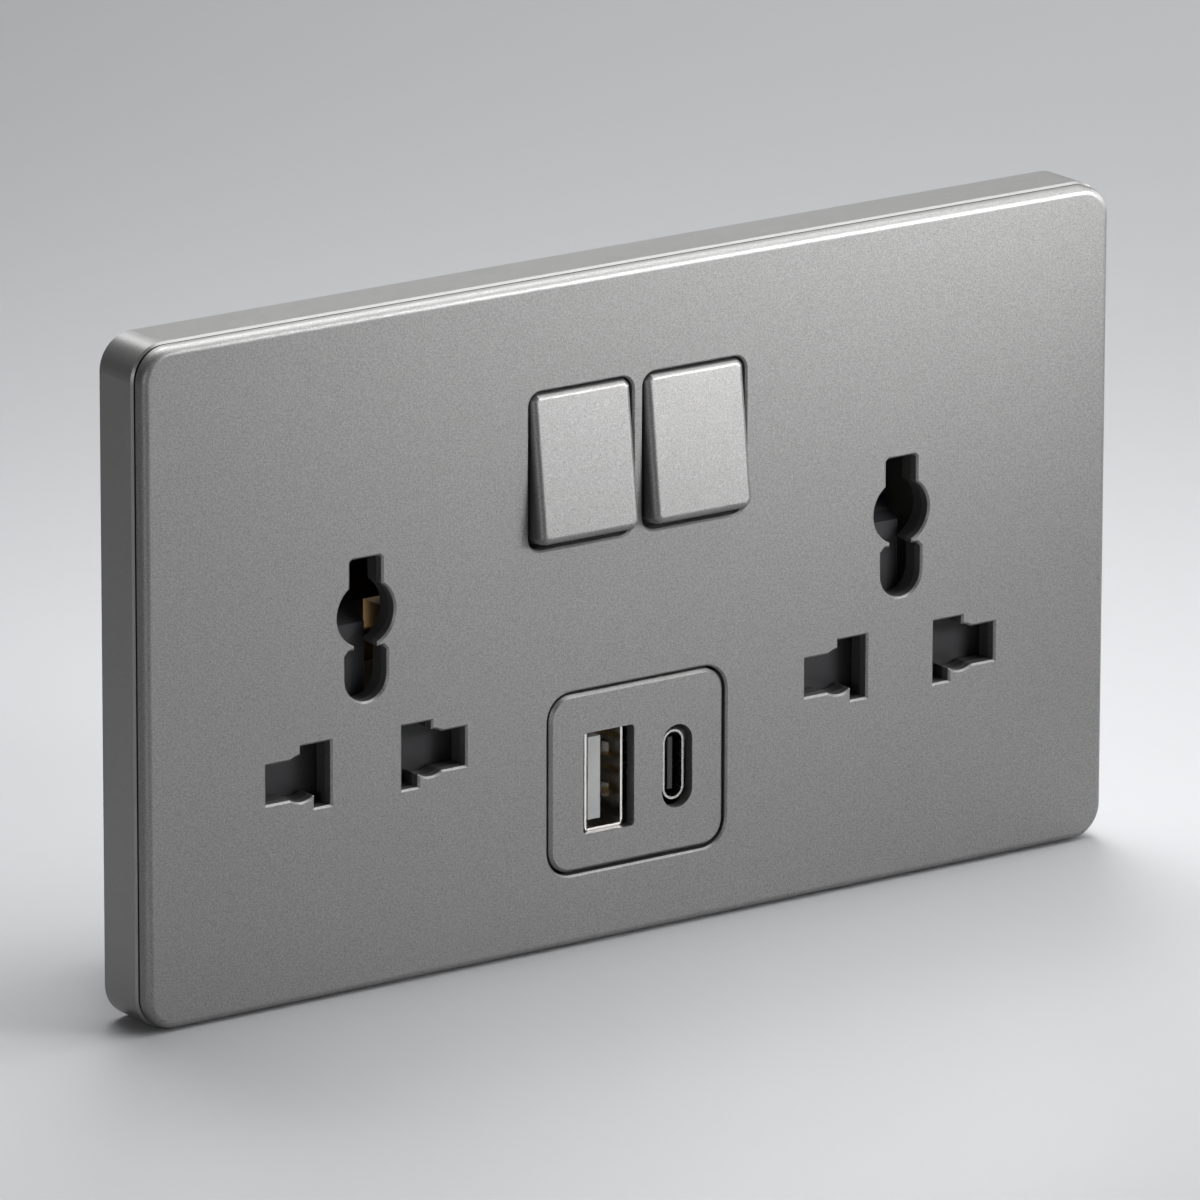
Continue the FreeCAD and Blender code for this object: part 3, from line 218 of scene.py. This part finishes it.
def painted(name, level, metallic, rough, speckle, shade_fade_start, shade_full_from):
    """Satin metallic paint with fine flakes, which fades between two depths into a near-black painted
    shade on the faces inside the seam.
    """
    mat = Nodes(name)
    flakes = mat.noise(scale=5200.0, detail=3.0, roughness=0.7)
    paint = mat.ramp(flakes, [(0.30, scaled(PAINT_TINT, level * (1 - speckle))),
                              (0.70, scaled(PAINT_TINT, level * (1 + speckle)))])
    parts = mat.add("SeparateXYZ")
    mat.link(mat.place(), parts.inputs["Vector"])
    # Painted shade: past a depth in Y the colour goes to near black, standing in for the shade inside
    # the seam.
    seam_shade = mat.add("Mix", data_type="RGBA")
    mat.link(mat.share(parts.outputs["Y"], shade_fade_start, shade_full_from), seam_shade.inputs["Factor"])
    mat.link(paint, seam_shade.inputs["A"])
    seam_shade.inputs["B"].default_value = scaled(WHITE, SEAM_SHADE_LEVEL) + (1.0,)
    mat.color(seam_shade.outputs["Result"])
    mat.shader.inputs["Metallic"].default_value = metallic
    mat.rough(mat.span(mat.noise(scale=900.0), rough - 0.05, rough + 0.05))
    mat.bump(mat.noise(scale=3800.0, detail=4.0, roughness=0.65), distance=0.04 * MM, strength=0.35)
    return mat.material


def moulded(name, color, rough):
    """Plain moulded plastic with a fine spark-eroded grain."""
    mat = Nodes(name)
    shade = mat.noise(scale=300.0, detail=3.0)
    mat.color(mat.ramp(shade, [(0.3, scaled(color, 0.96)), (0.7, scaled(color, 1.04))]))
    mat.rough(mat.span(mat.noise(scale=1500.0), rough - 0.06, rough + 0.06))
    mat.bump(mat.noise(scale=4000.0, detail=3.0), distance=0.03 * MM, strength=0.3)
    return mat.material


def sheet_metal(name, color, rough):
    """Stamped or drawn metal with faint tool streaks."""
    mat = Nodes(name)
    streaks = mat.mapped("POINT", Scale=(60.0, 900.0, 900.0))
    grain = mat.noise(scale=2.0, detail=3.0, at=streaks)
    mat.color(mat.ramp(grain, [(0.3, scaled(color, 0.88)), (0.7, color)]))
    mat.shader.inputs["Metallic"].default_value = 1.0
    mat.rough(mat.span(grain, rough - 0.07, rough + 0.09))
    mat.bump(grain, distance=0.02 * MM, strength=0.3)
    return mat.material


def dress(names, material):
    """Gives CAD nodes a material of their own in place of the frame's."""
    for name in names:
        item = nodes[name]
        item.data.materials.clear()
        item.data.materials.append(material)


def make_materials():
    # The fascia is painted to the seam, where it meets the frame, and the frame from the seam on; the
    # faces inside the seam take a near-black painted shade.
    dress(["fascia", "usb_bezel"],
          painted("titanium_paint", level=0.24, metallic=0.85, rough=0.48, speckle=0.3,
                  shade_fade_start=FRAME_FRONT - 0.42 * MM, shade_full_from=FRAME_FRONT - 0.36 * MM))
    # The rockers take a darker copy of the fascia's paint, a painted shade against the light they catch
    # as they tilt up.
    dress(["rocker_left", "rocker_right"],
          painted("rocker_paint_shaded", level=0.205, metallic=0.85, rough=0.46, speckle=0.3,
                  shade_fade_start=FRAME_FRONT - 0.42 * MM, shade_full_from=FRAME_FRONT))
    dress(["mounting_frame"],
          painted("frame_paint", level=0.25, metallic=0.6, rough=0.38, speckle=0.08,
                  shade_fade_start=FRAME_FRONT + 0.03 * MM, shade_full_from=FRAME_FRONT + 0.01 * MM))
    # Plastic.
    dress(["shutter_left", "shutter_right"],
          moulded("charcoal_moulding", (0.008, 0.008, 0.010), rough=0.5))
    dress(["socket_front"], moulded("front_moulding", (0.042, 0.041, 0.041), rough=0.45))
    dress(["rear_housing"], moulded("housing_plastic", (0.5, 0.5, 0.49), rough=0.5))
    # Metal.
    dress(["live_clip_left", "live_clip_right", "neutral_bar", "earth_bar", "live_bar",
           "live_terminal", "neutral_terminal", "earth_terminal_left", "earth_terminal_right",
           "contact_arm_left", "contact_arm_right", "usb_feed_pins"],
          sheet_metal("brass_strip", (0.38, 0.235, 0.085), rough=0.36))
    dress(["usb_a_contacts"], sheet_metal("gold_contacts", (0.85, 0.6, 0.25), rough=0.2))
    dress(["housing_screws", "terminal_screws", "shutter_spring_left", "shutter_spring_right"],
          sheet_metal("zinc_steel", (0.62, 0.62, 0.62), rough=0.3))
    dress(["usb_a_shell"], sheet_metal("nickel_shell", (0.75, 0.73, 0.7), rough=0.18))
    dress(["usb_c_shell"], sheet_metal("satin_shell", (0.48, 0.47, 0.46), rough=0.25))
    # The charger's plastic, its board and the parts on it.
    dress(["usb_a_tongue"], moulded("tongue_grey", (0.36, 0.36, 0.36), rough=0.35))
    dress(["usb_c_tongue", "plunger_left", "plunger_right", "usb_capacitors"],
          moulded("black_plastic", (0.02, 0.02, 0.02), rough=0.35))
    dress(["usb_circuit_board"], moulded("green_board", (0.02, 0.12, 0.05), rough=0.4))
    dress(["usb_transformer"], moulded("yellow_winding", (0.55, 0.4, 0.06), rough=0.4))


def prism(name, outline, low, high, material):
    """An upright prism over an outline in X and Y, between two heights."""
    verts = [(x, y, z) for z in (low, high) for x, y in outline]
    count = len(outline)
    faces = [tuple(range(count)), tuple(range(2 * count - 1, count - 1, -1))]
    faces += [(i, i + count, (i + 1) % count + count, (i + 1) % count) for i in range(count)]
    mesh = bpy.data.meshes.new(name)
    mesh.from_pydata(verts, [], faces)
    shape = bmesh.new()
    shape.from_mesh(mesh)
    bmesh.ops.recalc_face_normals(shape, faces=shape.faces)
    shape.to_mesh(mesh)
    shape.free()
    mesh.materials.append(material)
    item = bpy.data.objects.new(name, mesh)
    bpy.context.scene.collection.objects.link(item)
    return item


def make_divider():
    """A tapered rib of the housing, between the left earth clip and the neutral terminal's window.

    It closes the view from the earth hole through that window.
    """
    block_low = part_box("neutral_terminal")[0]
    housing_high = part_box("rear_housing")[1]
    middle = block_low[0] - 2.4 * MM
    root = housing_high[1] - 1.3 * MM
    front = root - 11.7 * MM
    flare = root - 0.8 * MM
    half_tip, half_foot = 0.5 * MM, 0.7 * MM
    bottom, top = block_low[2] - 6.6 * MM, block_low[2] + 1.6 * MM
    outline = [(middle - half_tip, front), (middle + half_tip, front),
               (middle + half_foot, flare), (middle + 2 * half_foot, root),
               (middle - 2 * half_foot, root), (middle - half_foot, flare)]
    rib = prism("housing_divider", outline, bottom, top, nodes["rear_housing"].data.materials[0])
    edge = rib.modifiers.new("edge", "BEVEL")
    edge.width = 0.1 * MM
    edge.segments = 2
    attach(rib, "socket")


def fold_springs():
    """Gives each return spring a mesh of its own."""
    for side in ("left", "right"):
        name = "shutter_spring_" + side
        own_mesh(nodes[name])


def make_floor():
    """A pale floor that curves up into a backdrop behind the object, square to the camera."""
    profile = [(FLOOR_FRONT, 0.0), (BEND_START, 0.0)]
    for i in range(1, BEND_STEPS + 1):
        turn = math.pi / 2 * i / BEND_STEPS
        profile.append((BEND_START + BEND_RADIUS * math.sin(turn), BEND_RADIUS * (1 - math.cos(turn))))
    profile.append((BEND_START + BEND_RADIUS, BACKDROP_TOP))
    sides = (-FLOOR_HALF_WIDTH, FLOOR_HALF_WIDTH)
    verts = [(x, y, PLATE_BOTTOM + z) for y, z in profile for x in sides]
    faces = [(2 * i, 2 * i + 1, 2 * i + 3, 2 * i + 2) for i in range(len(profile) - 1)]
    mesh = bpy.data.meshes.new("floor")
    mesh.from_pydata(verts, [], faces)
    mesh.shade_smooth()
    floor = bpy.data.objects.new("floor", mesh)
    bpy.context.scene.collection.objects.link(floor)
    floor.matrix_world = Matrix.Rotation(-CAMERA_AZIMUTH, 4, "Z")
    mat = Nodes("floor_paper")
    # The painted pool of light: the floor's colour is palest at the spot and darker round it.
    light_pool = mat.add("TexGradient", gradient_type="SPHERICAL")
    mat.link(mat.mapped("TEXTURE", Location=LIGHT_POOL_SPOT, Scale=LIGHT_POOL_REACH), light_pool.inputs["Vector"])
    mat.color(mat.ramp(light_pool.outputs["Fac"], [(0.0, scaled(FLOOR_TINT, FLOOR_DARK)),
                                             (1.0, scaled(FLOOR_TINT, FLOOR_PALE))]))
    mat.shader.inputs["Roughness"].default_value = 0.45
    mesh.materials.append(mat.material)


make_camera()
make_floor()
make_lights()
make_materials()
make_divider()
fold_springs()
bpy.context.scene.view_settings.view_transform = "Standard"
